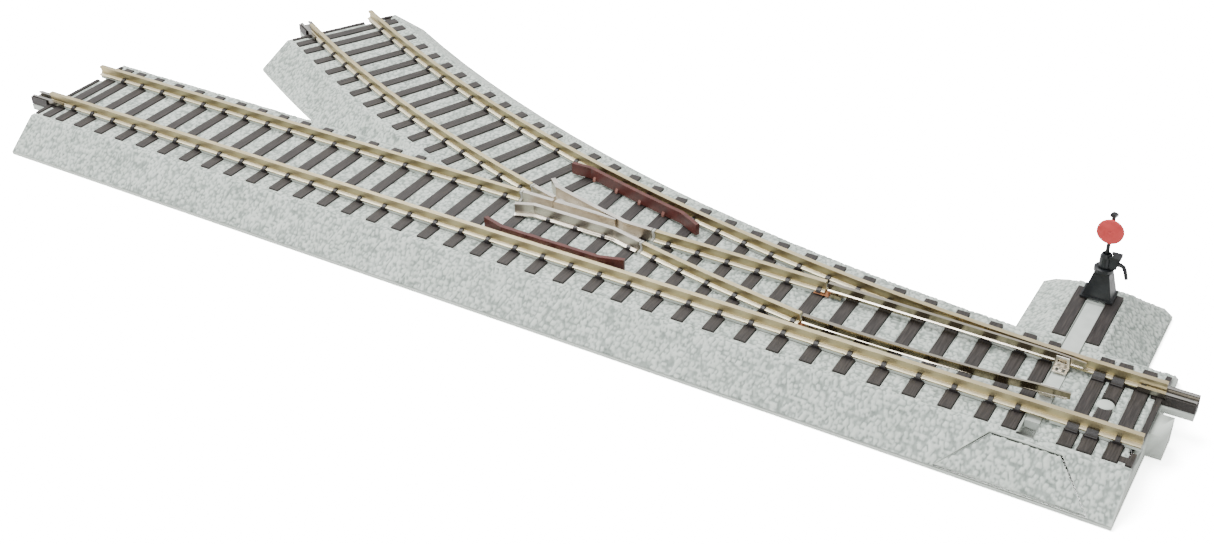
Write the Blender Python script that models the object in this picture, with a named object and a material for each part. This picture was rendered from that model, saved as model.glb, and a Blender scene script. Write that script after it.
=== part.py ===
"""Model railway turnout: roadbed, ties, rails, moving blades, swing-nose frog and switch stand.

Drawn in millimetres from the left end of the straight track: x runs along it to the points, y runs
across it to the branch side, and z starts at the underside of the roadbed. Built as set for the
straight track, and centred on its own footprint at the end.
"""
import bpy
import bmesh
from math import asin, atan2, ceil, cos, degrees, hypot, pi, radians, sin, sqrt
from mathutils import Matrix, Vector

# ---- driving dimensions, mm ----
LENGTH = 381.0            # straight track, 15 inches
RADIUS = 652.9            # centre line of the branch
ARC_DEG = 29.95           # the angle that the branch turns
ARC_START = 376.5         # where the branch leaves the straight
GAUGE_HALF = 11.92        # track centre to rail centre
BASE_HALF = 33.35         # roadbed half width at the underside
TOP_HALF = 22.2           # roadbed half width at the top
DECK = 10.0               # top of the ballast
LIP = 0.9                 # upright strip at the foot of the slope
WALL = 1.8
DECK_THICK = 2.6
TIE_TOP = 10.35
TIE_BASE = 9.0
TIE_WIDE = 3.53
TIE_HALF = 20.25          # tie half length
TIE_PITCH = 9.757
RAIL_FOOT = 11.0          # underside of the rails
RAIL_TALL = 3.33
RAIL_TOP = RAIL_FOOT + RAIL_TALL
GAP = 0.3                 # between pieces that touch
FLANGEWAY = 4.97          # rail centre to wing rail centre at the frog
GUARD_OFFSET = 3.4        # rail centre to guard rail centre
TRAVEL = 6.2              # throw bar stroke
STAND_X, STAND_Y = 353.5, 48.3
BAR_X = 354.3             # centre of the throw bar
BAR_WIDE = 3.8
BAR_Z = (7.45, 9.75)
BAR_WIDE_LEFT = 351.4     # left edge of its wide end, between the stand's ties
STAND_TIE_ROOM = (0.635, 0.235)  # from the wide end's left and right edges to those ties
SCREW_SPOT = (368.6, 0.95)  # covered screw hole, 4.6 mm across
HEEL_X = 286.3            # joint between closure rails and blades
PIVOT_X = 289.5           # blade pivots
PIN_R = 0.6               # their pins
BLADE_THICK, BLADE_THIN = 1.3, 0.6  # a blade at its heel and at its tip
BLADE_TIP = 360.4
FROG_LEFT, FROG_RIGHT = 183.4, 229.2
POINT_PIVOT = (196.0, 12.6)
POINT_CRANK = 10.0
LEVER_X = 220.2           # pivot of the lever under the deck
PLATFORM_X = 353.65
PLATFORM_TOP_HALF, PLATFORM_TOP_Y = 7.7, 54.0
SLOPE_RUN = BASE_HALF - TOP_HALF
NEAR_R, FAR_R = RADIUS + GAUGE_HALF, RADIUS - GAUGE_HALF
BLADE_SWING = degrees(TRAVEL / (BAR_X - PIVOT_X))
POINT_SWING = 9.1

for old in list(bpy.data.objects):
    bpy.data.objects.remove(old, do_unlink=True)

MATERIALS = {
    "ballast": ((0.58, 0.61, 0.57), 0.0, 0.8),
    "tie": ((0.10, 0.09, 0.095), 0.0, 0.6),
    "nickel_silver": ((0.72, 0.68, 0.58), 1.0, 0.3),
    "nickel_plate": ((0.82, 0.79, 0.74), 1.0, 0.2),
    "guard_plastic": ((0.16, 0.05, 0.045), 0.0, 0.45),
    "bar_plastic": ((0.60, 0.62, 0.58), 0.0, 0.5),
    "stand_black": ((0.02, 0.02, 0.022), 0.0, 0.45),
    "target_red": ((0.60, 0.10, 0.10), 0.0, 0.5),
    "copper": ((0.72, 0.33, 0.16), 1.0, 0.35),
    "steel": ((0.55, 0.55, 0.56), 1.0, 0.35),
    "brass": ((0.75, 0.55, 0.25), 1.0, 0.35),
}


def material(node, kind):
    colour, metallic, roughness = MATERIALS[kind]
    made = bpy.data.materials.new(f"{node}_{kind}")
    made.use_nodes = True
    shader = made.node_tree.nodes["Principled BSDF"]
    shader.inputs["Base Color"].default_value = (*colour, 1)
    shader.inputs["Metallic"].default_value = metallic
    shader.inputs["Roughness"].default_value = roughness
    made.diffuse_color = (*colour, 1)
    return made


def add_object(name, kind, shells, pivot=(0, 0, 0), smooth=False):
    """One object from a list of (points, faces) in mm, with its origin at the pivot."""
    mesh = bpy.data.meshes.new(name)
    points, faces = [], []
    for shell_points, shell_faces in shells:
        start = len(points)
        points += [Vector(p) - Vector(pivot) for p in shell_points]
        faces += [[start + i for i in face] for face in shell_faces]
    mesh.from_pydata([p * 0.001 for p in points], [], faces)
    work = bmesh.new()
    work.from_mesh(mesh)
    bmesh.ops.recalc_face_normals(work, faces=work.faces)
    work.to_mesh(mesh)
    work.free()
    obj = bpy.data.objects.new(name, mesh)
    obj.location = Vector(pivot) * 0.001
    bpy.context.scene.collection.objects.link(obj)
    if kind:
        mesh.materials.append(material(name, kind))
    if smooth:
        mesh.polygons.foreach_set("use_smooth", [True] * len(mesh.polygons))
        mesh.set_sharp_from_angle(angle=radians(35))
    return obj


def loft(rings):
    """A closed shell through rings of equal length."""
    count = len(rings[0])
    faces = [list(range(count))[::-1], [(len(rings) - 1) * count + i for i in range(count)]]
    for row in range(len(rings) - 1):
        low, high = row * count, (row + 1) * count
        faces += [[low + i, low + (i + 1) % count, high + (i + 1) % count, high + i] for i in range(count)]
    return [p for ring in rings for p in ring], faces


def box(x0, x1, y0, y1, z0, z1):
    return loft([[(x0, y0, z), (x1, y0, z), (x1, y1, z), (x0, y1, z)] for z in (z0, z1)])


def prism(outline, z0, z1):
    return loft([[(x, y, z) for x, y in outline] for z in (z0, z1)])


def turned(x, y, profile, steps=20):
    """A turned shell about an upright axis from (radius, z) pairs, bottom to top."""
    return loft([[(x + r * cos(2 * pi * i / steps), y + r * sin(2 * pi * i / steps), z)
                  for i in range(steps)] for r, z in profile])


def tube(x, y, outer, inner, steps=20):
    """A turned ring: up the outer profile and down the inner one, closed on itself."""
    loop = outer + inner[::-1]
    points = [(x + r * cos(2 * pi * i / steps), y + r * sin(2 * pi * i / steps), z)
              for i in range(steps) for r, z in loop]
    count = len(loop)
    faces = []
    for i in range(steps):
        low, high = i * count, (i + 1) % steps * count
        faces += [[low + j, low + (j + 1) % count, high + (j + 1) % count, high + j] for j in range(count)]
    return points, faces


def swept(path, profile):
    """A profile of (side, z) pairs carried along a flat path of (x, y) points."""
    rings = []
    for i, (x, y) in enumerate(path):
        ahead = Vector(path[min(i + 1, len(path) - 1)]) - Vector((x, y))
        back = Vector((x, y)) - Vector(path[max(i - 1, 0)])
        ahead = ahead.normalized() if ahead.length else back.normalized()
        back = back.normalized() if back.length else ahead
        along = (ahead + back).normalized()
        stretch = 1 / max(0.5, along.dot(ahead))
        rings.append([(x - along.y * side * stretch, y + along.x * side * stretch, z)
                      for side, z in profile])
    return loft(rings)


def slab(half, z0, z1):
    return [(-half, z0), (half, z0), (half, z1), (-half, z1)]


def branch(angle, offset=0.0):
    """A point of the branch at an angle in degrees; a positive offset is to the far side of the track."""
    reach = RADIUS - offset
    return ARC_START - reach * sin(radians(angle)), RADIUS - reach * cos(radians(angle))


def arc(offset, first, last, steps):
    return [branch(first + (last - first) * i / steps, offset) for i in range(steps + 1)]


def near_curve(x):
    """The y of the branch's near rail, which crosses the straight track."""
    return RADIUS - sqrt(NEAR_R ** 2 - (ARC_START - x) ** 2)


def near_angle(x):
    return degrees(asin((ARC_START - x) / NEAR_R))


def boolean(obj, cutter, operation="DIFFERENCE"):
    made = obj.modifiers.new(cutter.name, "BOOLEAN")
    made.operation, made.solver, made.object = operation, "EXACT", cutter
    made.use_self = True
    cutter.hide_render = True
    cutter.display_type = "WIRE"


def cutter(name, shells):
    return add_object(name, None, shells)


RAIL = [(-1.5, 0), (1.5, 0), (1.5, 0.35), (0.35, 0.7), (0.35, 2.25), (0.75, 2.5), (0.75, RAIL_TALL),
        (-0.75, RAIL_TALL), (-0.75, 2.5), (-0.35, 2.25), (-0.35, 0.7), (-1.5, 0.35)]
RAIL = [(side, RAIL_FOOT + z) for side, z in RAIL]


# ---- gauge faces of the blades, and the pivots beneath them ----
def straight_face(x):
    return 11.17 - 0.72 * (x - HEEL_X) / (BLADE_TIP - HEEL_X)


def curved_face(x):
    return max(near_curve(x) + 0.75, -10.26)


PIVOT_Y = {"straight": straight_face(PIVOT_X) + BLADE_THICK / 2, "curved": curved_face(PIVOT_X) - BLADE_THICK / 2}


# ---- roadbed: a hollow moulding in the shape of a Y, with a platform for the stand ----
def outline(half, z, end=0.0, steps=18):
    """The plan of the roadbed at a half width, at height z, drawn in from its ends by end."""
    join = degrees(asin(sqrt((RADIUS + half) ** 2 - (RADIUS - half) ** 2) / (RADIUS + half)))
    stop = ARC_DEG - degrees(end / RADIUS)
    plan = [(end, -half), (LENGTH - end, -half), (LENGTH - end, half)]
    plan += arc(half, 0, stop, steps) + arc(-half, stop, join, 6) + [(end, half)]
    return [(x, y, z) for x, y in plan]


def platform(grow, top, base_z, top_z):
    """The sloped platform, drawn in by a negative grow."""
    rings = []
    for z, spread in ((base_z, SLOPE_RUN), (base_z + LIP, SLOPE_RUN), (top_z, SLOPE_RUN * (DECK - top) / DECK)):
        half, far = PLATFORM_TOP_HALF + spread + grow, PLATFORM_TOP_Y + spread + grow
        cut = 3.0 if spread == SLOPE_RUN else 0.8
        rings.append([(PLATFORM_X + x, y, z) for x, y in (
            (-half, 5), (half, 5), (half, far - cut), (half - cut, far), (cut - half, far), (-half, far - cut))])
    return loft(rings)


roadbed = add_object("roadbed", "ballast", [loft([
    outline(BASE_HALF, 0), outline(BASE_HALF, LIP), outline(TOP_HALF, DECK)])])
boolean(roadbed, cutter("platform_solid", [platform(0, DECK, 0, DECK)]), "UNION")

roof = DECK - DECK_THICK
run = SLOPE_RUN * roof / DECK
hollow = cutter("hollow", [loft([
    outline(BASE_HALF - WALL, -1, WALL), outline(BASE_HALF - WALL, LIP, WALL),
    outline(BASE_HALF - WALL - run, roof, WALL)])])
boolean(hollow, cutter("platform_hollow", [platform(-WALL, roof, -1, roof)]), "UNION")
ribs = [box(x, x + 1.4, -40, 130, roof - 2.0, roof + 3) for x in (50, 90, 130, 168, 240, 272, 305, 335)]
boolean(hollow, cutter("ribs", ribs))
boolean(roadbed, hollow)

# The throw bar's channel, the lugs under the joiners, the tongue and the lever's boss are added.
groove = (BAR_X - BAR_WIDE / 2 - GAP, BAR_X + BAR_WIDE / 2 + GAP)
lug_tray = slab(2.6, 6.6, 8.7)
MAIN_END = [(-8.2, -GAUGE_HALF), (3.0, -GAUGE_HALF)]
TOE_END = [(LENGTH - 3.0, GAUGE_HALF), (LENGTH + 8.2, GAUGE_HALF)]
end_way = Vector((-cos(radians(ARC_DEG)), sin(radians(ARC_DEG))))
branch_tip = Vector(branch(ARC_DEG, -GAUGE_HALF))
BRANCH_END = [tuple(branch_tip + end_way * 8.2), tuple(branch_tip - end_way * 3.0)]
added = [box(groove[0] - 1.5, groove[1] + 1.5, -23.5, 29.0, 5.7, 8.0),
         box(LENGTH - 3, LENGTH + 4.2, -3.5, 5.5, 1.5, 9.0),
         turned(LEVER_X, POINT_PIVOT[1], [(1.9, 5.1), (1.9, 8.0)], 12)]
added += [swept(path, lug_tray) for path in (MAIN_END, TOE_END, BRANCH_END)]
boolean(roadbed, cutter("added", added), "UNION")

# ---- ties ----
MAIN_TIES = [(0.98, 1.4), (5.5, TIE_WIDE), (11.67, TIE_WIDE)]
MAIN_TIES += [(20.67 + TIE_PITCH * i, TIE_WIDE) for i in range(34)] + [(349.8, TIE_WIDE)]
HEAD_TIES = [(364.05, TIE_WIDE), (369.0, TIE_WIDE), (375.3, TIE_WIDE), (LENGTH - 0.98, 1.4)]
BRANCH_TIES = [(ARC_DEG - 0.1, 1.4), (29.42, TIE_WIDE), (28.8, TIE_WIDE)]
BRANCH_TIES += [(27.92 - 0.883 * i, TIE_WIDE) for i in range(14)]
BRANCH_NEAR = {14: -15.7, 15: -7.1, 16: -1.5}


def far_tip(x):
    """How far a main tie reaches to the far side."""
    if x < 142:
        return TIE_HALF
    if x < 201:
        return 15.8
    return RADIUS - sqrt(FAR_R ** 2 - max(0, ARC_START - x) ** 2) + TIE_HALF - GAUGE_HALF


def main_tie(x, wide, grow, z0, z1):
    return box(x - wide / 2 - grow, x + wide / 2 + grow, -TIE_HALF - grow, far_tip(x) + grow, z0, z1)


def branch_tie(index, angle, wide, grow, z0, z1):
    ends = [branch(angle, BRANCH_NEAR.get(index, -TIE_HALF) - grow), branch(angle, TIE_HALF + grow)]
    return swept(ends, slab(wide / 2 + grow, z0, z1))


def stringer(path, grow, z0, z1):
    return swept(path, slab(1.1 + grow, z0, z1))


near_string = [(0.5, -GAUGE_HALF), (350.5, -GAUGE_HALF)]
far_string = arc(GAUGE_HALF, 2.3, ARC_DEG - 0.05, 20)
head_string = [[(363.0, y), (LENGTH - 0.5, y)] for y in (-GAUGE_HALF, GAUGE_HALF)]
head_string += [[(374.0, -18.0), (LENGTH - 0.5, -18.0)]]
end_strings = [[(0.5, 18.0), (7.0, 18.0)], arc(18.0, ARC_DEG - 0.6, ARC_DEG - 0.05, 1),
               arc(-GAUGE_HALF, ARC_DEG - 0.6, ARC_DEG - 0.05, 1)]
tray = slab(2.6, TIE_BASE, 10.25)


def track_ties(grow, z0, z1, string_top):
    made = [main_tie(x, wide, grow, z0, z1) for x, wide in MAIN_TIES]
    made += [branch_tie(i, angle, wide, grow, z0, z1) for i, (angle, wide) in enumerate(BRANCH_TIES)]
    return made + [stringer(path, grow, z0, string_top) for path in (near_string, far_string, *end_strings)]


def head_ties(grow, z0, z1, string_top):
    made = [main_tie(x, wide, grow, z0, z1) for x, wide in HEAD_TIES]
    return made + [stringer(path, grow, z0, string_top) for path in head_string]


def stand_ties(grow, z0, z1):
    left, right = BAR_WIDE_LEFT - STAND_TIE_ROOM[0], BAR_X + BAR_WIDE / 2 + STAND_TIE_ROOM[1]
    made = [box(x - grow, x + TIE_WIDE + grow, 25.0 - grow, 50.6 + grow, z0, z1) for x in (left - TIE_WIDE, right)]
    return made + [box(left - 1, right + 1, 46.2 - grow, 47.2 + grow, z0, min(z1, DECK))]


def joined(name, kind, shells, pivot=(0, 0, 0)):
    """One closed solid from several that cross each other."""
    obj = add_object(name, kind, shells[:1], pivot)
    boolean(obj, cutter(name + "_rest", shells[1:]), "UNION")
    return obj


tie_moulding = joined("tie_moulding", "tie", track_ties(0, TIE_BASE, TIE_TOP, DECK - 0.1)
                      + [swept(path, tray) for path in (MAIN_END, BRANCH_END)])
head_moulding = joined("head_ties", "tie", head_ties(0, TIE_BASE, TIE_TOP, DECK - 0.1) + [swept(TOE_END, tray)])
joined("stand_ties", "tie", stand_ties(0, TIE_BASE, TIE_TOP))
pockets = (track_ties(GAP, TIE_BASE - GAP, 12, 12) + head_ties(GAP, TIE_BASE - GAP, 12, 12)
           + stand_ties(GAP, TIE_BASE - GAP, 12))
tray_pocket = slab(2.6 + GAP, TIE_BASE - GAP, 12)
pockets += [swept(path, tray_pocket) for path in (
    [(-9, -GAUGE_HALF), (3.3, -GAUGE_HALF)], [(LENGTH - 3.3, GAUGE_HALF), (LENGTH + 9, GAUGE_HALF)],
    [tuple(branch_tip + end_way * 9), tuple(branch_tip - end_way * 3.3)])]
boolean(roadbed, cutter("tie_pockets", pockets))

# Openings: the bar's channel, its way down to the crank, pivots, and a notch under each bare rail end.
outer_tip = Vector(branch(ARC_DEG, GAUGE_HALF))
notch = slab(3.2, 7.0, 12)
wide_groove = (BAR_WIDE_LEFT - GAP, groove[1])
openings = [box(*groove, -21.4, 45.0, 7.15, 12), box(*wide_groove, 11.2, 45.0, 7.15, 12),
            box(*wide_groove, 28.0, 45.0, 3, 12),
            box(346.8, groove[1], 30.5, 56.0, 3, 8.0),
            box(BAR_X - 1.4, BAR_X + 1.4, 4.6, 14.4, 4, 9),
            turned(STAND_X, STAND_Y, [(1.1, 4), (1.1, 12)], 16),
            turned(*POINT_PIVOT, [(0.95, 4), (0.95, 12)], 12),
            turned(LEVER_X, POINT_PIVOT[1], [(1.2, 4), (1.2, 7.7)], 12)]
openings += [turned(PIVOT_X, y, [(PIN_R + GAP, 4), (PIN_R + GAP, 12)], 12) for y in PIVOT_Y.values()]
notches = [swept(path, notch) for path in (
    [(-1, GAUGE_HALF), (2.5, GAUGE_HALF)], [(LENGTH - 2.5, -GAUGE_HALF), (LENGTH + 1, -GAUGE_HALF)],
    [tuple(outer_tip + end_way), tuple(outer_tip - end_way * 2.5)])]
boolean(roadbed, cutter("openings", openings + notches))
for moulding in (tie_moulding, head_moulding):
    boolean(moulding, bpy.data.objects["openings"])
boolean(head_moulding, cutter("spot_hole", [turned(*SCREW_SPOT, [(2.6, 8), (2.6, 12)], 24)]))
boolean(roadbed, cutter("screw_spot", [turned(*SCREW_SPOT, [(2.3, 8.0), (2.3, 9.9), (1.9, 10.2)], 24)]), "UNION")

# A panel in the near slope that can be broken out to move the stand to that side.
PANEL = ((-9.0, 0.93), (9.6, 0.93), (19.9, 0.03), (-19.6, 0.03))


def slope_slab(grow, outer, inner):
    rings = []
    for depth in (outer, inner):
        ring = []
        for side, up in PANEL:
            z = LIP + (DECK - LIP) * up + (grow * 0.7 if up > 0.5 else -grow * 0.7)
            y = -BASE_HALF + SLOPE_RUN * (z - LIP) / (DECK - LIP)
            side += grow * 1.4 if side > 0 else -grow * 1.4
            ring.append((355.0 + side, y + depth * 0.63, z - depth * 0.77))
        rings.append(ring)
    return loft(rings)


add_object("breakout_panel", "ballast", [slope_slab(-GAP, 0, 1.2)])
boolean(roadbed, cutter("panel_opening", [slope_slab(0, -2, 4)]))

# ---- rails ----
add_object("near_stock_rail", "nickel_silver", [swept([(0, -GAUGE_HALF), (LENGTH, -GAUGE_HALF)], RAIL)])
add_object("curved_stock_rail", "nickel_silver",
           [swept([(LENGTH, GAUGE_HALF)] + arc(GAUGE_HALF, 0, ARC_DEG, 24), RAIL)])
exit_end, closure_start = FROG_LEFT - 1.4, FROG_RIGHT + 1.4
add_object("main_exit_rail", "nickel_silver", [swept([(0, GAUGE_HALF), (exit_end, GAUGE_HALF)], RAIL)])
add_object("branch_inner_rail", "nickel_silver",
           [swept(arc(-GAUGE_HALF, ARC_DEG, near_angle(exit_end + 0.9), 12), RAIL)])
closure_end = HEEL_X - 0.4
add_object("straight_closure_rail", "nickel_silver",
           [swept([(closure_start, GAUGE_HALF), (closure_end, GAUGE_HALF)], RAIL)])
add_object("curved_closure_rail", "nickel_silver",
           [swept(arc(-GAUGE_HALF, near_angle(closure_start), near_angle(closure_end), 6), RAIL)])

# ---- frog: plated casting with two wings and a vee, insulating blocks, and a swinging point ----
bar_section = slab(0.7, 10.65, RAIL_TOP)
wing_foot = [(-1.75, 10.65), (-0.4, 10.65), (-0.4, 11.35), (-1.75, 11.0)]
knuckle_x = 219.1
near_wing = [(184.8, 4.7), (190.5, GAUGE_HALF - FLANGEWAY), (knuckle_x, GAUGE_HALF - FLANGEWAY)]
near_wing += [(x, near_curve(x)) for x in (222.0, 225.5, FROG_RIGHT)]
far_wing = [(187.2, 23.2), (191.0, near_curve(191.0) + FLANGEWAY * 1.04)]
far_wing += [(x, near_curve(x) + FLANGEWAY * 1.037) for x in (198, 205, 212, 219.6)]
far_wing += [(221.0, GAUGE_HALF), (FROG_RIGHT, GAUGE_HALF)]
floor = [(184.8, 6.3), (224, 5.2), (226, 11.9), (220, 12.6), (205, 16.0), (193.5, 19.4), (184.8, 17.6)]
casting = joined("frog_casting", "nickel_plate", [
    prism(floor, 10.65, 11.15), swept(near_wing, bar_section), swept(far_wing, bar_section),
    swept(near_wing[:-1] + [(228.6, near_curve(228.6))], wing_foot),
    swept([(FROG_LEFT, GAUGE_HALF), (194.3, GAUGE_HALF)], bar_section),
    swept(arc(-GAUGE_HALF, near_angle(FROG_LEFT + 0.9), near_angle(193.6), 4), bar_section)])
boolean(casting, cutter("point_hole", [turned(*POINT_PIVOT, [(0.7, 10), (0.7, 12)], 12)]))

blocks = [("exit", (FROG_LEFT - 0.7, GAUGE_HALF), 0), ("branch", branch(near_angle(FROG_LEFT + 0.2), -GAUGE_HALF), 16.8),
          ("straight", (FROG_RIGHT + 0.7, GAUGE_HALF), 0),
          ("curved", branch(near_angle(FROG_RIGHT + 0.7), -GAUGE_HALF), near_angle(FROG_RIGHT))]
for label, (x, y), turn in blocks:
    half = Vector((cos(radians(turn)), -sin(radians(turn)))) * 0.4
    add_object("insulator_" + label, "bar_plastic",
               [swept([(x - half.x, y - half.y), (x + half.x, y + half.y)], RAIL)])

px, py = POINT_PIVOT
point_plan = [(195.0, 11.22), (216.8, 11.22), (216.8, 11.75), (210.5, 12.62), (198.0, 12.9), (196.4, 13.6),
              (195.3, 13.4)]
frog_point = joined("frog_point", "nickel_plate", [
    prism(point_plan, 11.45, RAIL_TOP), turned(px, py, [(0.6, 5.0), (0.6, 11.7)], 12)], (px, py, 0))
crank_plan = [(px - POINT_CRANK - 1.3, py - 1.3), (px + 1.6, py - 1.3), (px + 1.6, py + 1.3),
              (px - POINT_CRANK - 1.3, py + 1.3)]
frog_crank = joined("frog_crank", "steel", [
    prism(crank_plan, 5.3, 6.3), turned(px - POINT_CRANK, py, [(0.6, 2.9), (0.6, 5.6)], 12)], (px, py, 0))
boolean(frog_crank, cutter("crank_bore", [turned(px, py, [(0.68, 5), (0.68, 7)], 12)]))
lever_plan = [(px - POINT_CRANK - 3.0, py - 1.9), (LEVER_X, py - 2.6), (BAR_X + 2.6, py - 1.9),
              (BAR_X + 2.6, py + 1.9), (LEVER_X, py + 2.6), (px - POINT_CRANK - 3.0, py + 1.9)]
frog_lever = add_object("frog_lever", "bar_plastic", [prism(lever_plan, 3.5, 4.7)], (LEVER_X, py, 0))
boolean(frog_lever, cutter("lever_holes", [
    box(px - POINT_CRANK - 1.2, px - POINT_CRANK + 1.2, py - 1.0, py + 1.0, 3, 5),
    box(BAR_X - 1.3, BAR_X + 1.3, py - 1.05, py + 1.05, 3, 5),
    turned(LEVER_X, py, [(0.98, 3), (0.98, 5)], 12)]))
add_object("lever_screw", "steel", [turned(LEVER_X, py, [(1.8, 2.7), (1.8, 3.2), (0.9, 3.2), (0.9, 7.4)], 12)],
           smooth=True)

# ---- guard rails ----
guard_section = slab(0.65, 10.65, RAIL_TOP + 0.05)
guard_y = GUARD_OFFSET - GAUGE_HALF
add_object("guard_rail_main", "guard_plastic", [swept(
    [(181.4, guard_y + 2.2), (189.0, guard_y), (222.5, guard_y), (230.2, guard_y + 2.2)], guard_section)])
guard_arc = arc(GAUGE_HALF - GUARD_OFFSET, 12.9, 16.4, 5)
add_object("guard_rail_branch", "guard_plastic", [swept(
    [branch(12.2, GAUGE_HALF - GUARD_OFFSET - 2.2)] + guard_arc
    + [branch(17.0, GAUGE_HALF - GUARD_OFFSET - 2.2)], guard_section)])


# ---- blades, drawn closed; the curved one is then swung open about its pivot ----
def swung(shell, pivot, angle):
    turn = Matrix.Rotation(radians(angle), 3, "Z")
    centre = Vector((*pivot, 0))
    return [turn @ (Vector(p) - centre) + centre for p in shell[0]], shell[1]


def blade_shell(face, thick, side, lifted):
    """face(x) is the gauge face; thick runs from the heel to the tip, away from the gauge face."""
    rings = []
    for i in range(10):
        x = HEEL_X + 0.4 + (BLADE_TIP - HEEL_X - 0.4) * i / 9
        y, wide = face(x), thick[0] + (thick[1] - thick[0]) * i / 9
        low = RAIL_FOOT + (0.95 if x > lifted else 0.1)
        top = RAIL_TOP - (0.5 if i == 9 else 0.05)
        rings.append([(x, y, low), (x, y + side * wide, low), (x, y + side * wide, top), (x, y, top)])
    return loft(rings)


def blade_flange(face, thick, side, first, last):
    """The narrow foot along the near side of a blade, above the foot of the stock rail."""
    rings = []
    for x in (first, (first + last) / 2, last):
        wide = thick[0] + (thick[1] - thick[0]) * (x - HEEL_X) / (BLADE_TIP - HEEL_X)
        y = face(x) - (wide if side < 0 else 0)
        rings.append([(x, y + 0.2, FLANGE_Z), (x, y + 0.2, FLANGE_Z + 0.45), (x, y, FLANGE_Z + 0.45),
                      (x, y - 0.45, FLANGE_Z + 0.25), (x, y - 0.45, FLANGE_Z)])
    return loft(rings)


FLANGE_Z = RAIL_FOOT + 0.97
CLIP_ROOM = 1.9 + GAP
FLANGE_SPANS = {"straight": ((HEEL_X + 0.5, BAR_X - CLIP_ROOM), (BAR_X + CLIP_ROOM, BLADE_TIP - 0.8)),
                "curved": ((HEEL_X + 0.5, BLADE_TIP - 0.8),)}
for name, face, side, swing in (("straight", straight_face, 1, 0.0), ("curved", curved_face, -1, BLADE_SWING)):
    pivot_y = PIVOT_Y[name]
    pivot = (PIVOT_X, pivot_y)
    shoe = box(PIVOT_X - 1.6, PIVOT_X + 1.6, pivot_y - 1.5, pivot_y + 1.5, TIE_TOP, RAIL_FOOT + 0.5)
    shells = [blade_shell(face, (BLADE_THICK, BLADE_THIN), side, 312), shoe]
    shells += [blade_flange(face, (BLADE_THICK, BLADE_THIN), side, *span) for span in FLANGE_SPANS[name]]
    blade = joined(f"{name}_blade", "nickel_silver", [swung(s, pivot, swing) for s in shells], (*pivot, 0))
    boolean(blade, cutter(f"{name}_blade_bore", [turned(*pivot, [(PIN_R + GAP, 10), (PIN_R + GAP, 11.6)], 16)]))
    add_object(f"{name}_heel_rivet", "steel", [turned(*pivot, [(PIN_R, 7.8), (PIN_R, 11.3)], 16)], smooth=True)
    clip_y = face(BAR_X) - side * 0.3
    plate = box(BAR_X - 1.9, BAR_X + 1.9, *sorted((clip_y, clip_y - side * 0.35)), 10.3, 13.9)
    flap = box(BAR_X - 1.9, BAR_X + 1.9, *sorted((clip_y - side * 0.1, clip_y - side * 2.7)), 10.3, 10.65)
    peg = box(BAR_X - 0.5, BAR_X + 0.5, *sorted((clip_y - side * 1.0, clip_y - side * 2.0)), 8.4, 10.5)
    joined(f"{name}_blade_clip", "nickel_plate", [swung(s, pivot, swing) for s in (plate, flap, peg)], (*pivot, 0))
    strip_y = GAUGE_HALF if name == "straight" else near_curve(HEEL_X)
    add_object(f"{name}_heel_contact", "copper", [box(HEEL_X - 3.4, HEEL_X + 1.2, strip_y - 2.2, strip_y + 1.0, 10.68, 10.84)])

# ---- throw bar, with an eye beneath the stand for the crank pin ----
PEG_STRAIGHT = straight_face(BAR_X) - 0.3 - 1.5
PEG_CURVED = PIVOT_Y["curved"] + (curved_face(BAR_X) + 0.3 + 1.5 - PIVOT_Y["curved"]) * cos(radians(BLADE_SWING)) \
    + (BAR_X - PIVOT_X) * sin(radians(BLADE_SWING))
CRANK_R = TRAVEL / 2 / sin(radians(45))
EYE_Y = STAND_Y + TRAVEL / 2
bar = joined("throw_bar", "bar_plastic", [
    box(BAR_X - BAR_WIDE / 2, BAR_X + BAR_WIDE / 2, -14.6, 44.0, *BAR_Z),
    box(BAR_WIDE_LEFT, BAR_X, 18.0, 44.0, *BAR_Z),
    box(347.2, BAR_X + BAR_WIDE / 2, 38.0, 43.3, 5.7, 7.7), box(347.2, 352.1, 38.0, EYE_Y + 2.4, 5.7, 7.4),
    turned(BAR_X, py, [(0.65, 3.0), (0.65, 7.7)], 12)])
boolean(bar, cutter("bar_holes", [
    box(BAR_X - 1.1, BAR_X + 1.3, PEG_STRAIGHT - 0.85, PEG_STRAIGHT + 0.85, 7.9, 11),
    box(BAR_X - 1.1, BAR_X + 1.3, PEG_CURVED - 0.85, PEG_CURVED + 0.85, 7.9, 11),
    box(STAND_X - CRANK_R - 0.95, STAND_X - CRANK_R * cos(radians(45)) + 0.9, EYE_Y - 1.1, EYE_Y + 1.1, 5, 8)]))

# ---- switch stand ----
sx, sy = STAND_X, STAND_Y
HEAD_R = 1.7


def square(half_x, half_y, z):
    return [(sx - half_x, sy - half_y, z), (sx + half_x, sy - half_y, z),
            (sx + half_x, sy + half_y, z), (sx - half_x, sy + half_y, z)]


stand = joined("stand_base", "stand_black", [
    loft([square(4.6, 3.5, 10.65), square(4.6, 3.5, 11.2), square(4.1, 3.0, 11.2), square(2.2, 2.2, 18.9)]),
    turned(sx, sy, [(2.3, 18.5), (2.8, 19.0), (2.8, 20.0), (2.2, 20.15)], 20)])
boolean(stand, cutter("stand_bore", [turned(sx, sy, [(0.85, 9), (0.85, 22)], 16)]))

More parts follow.
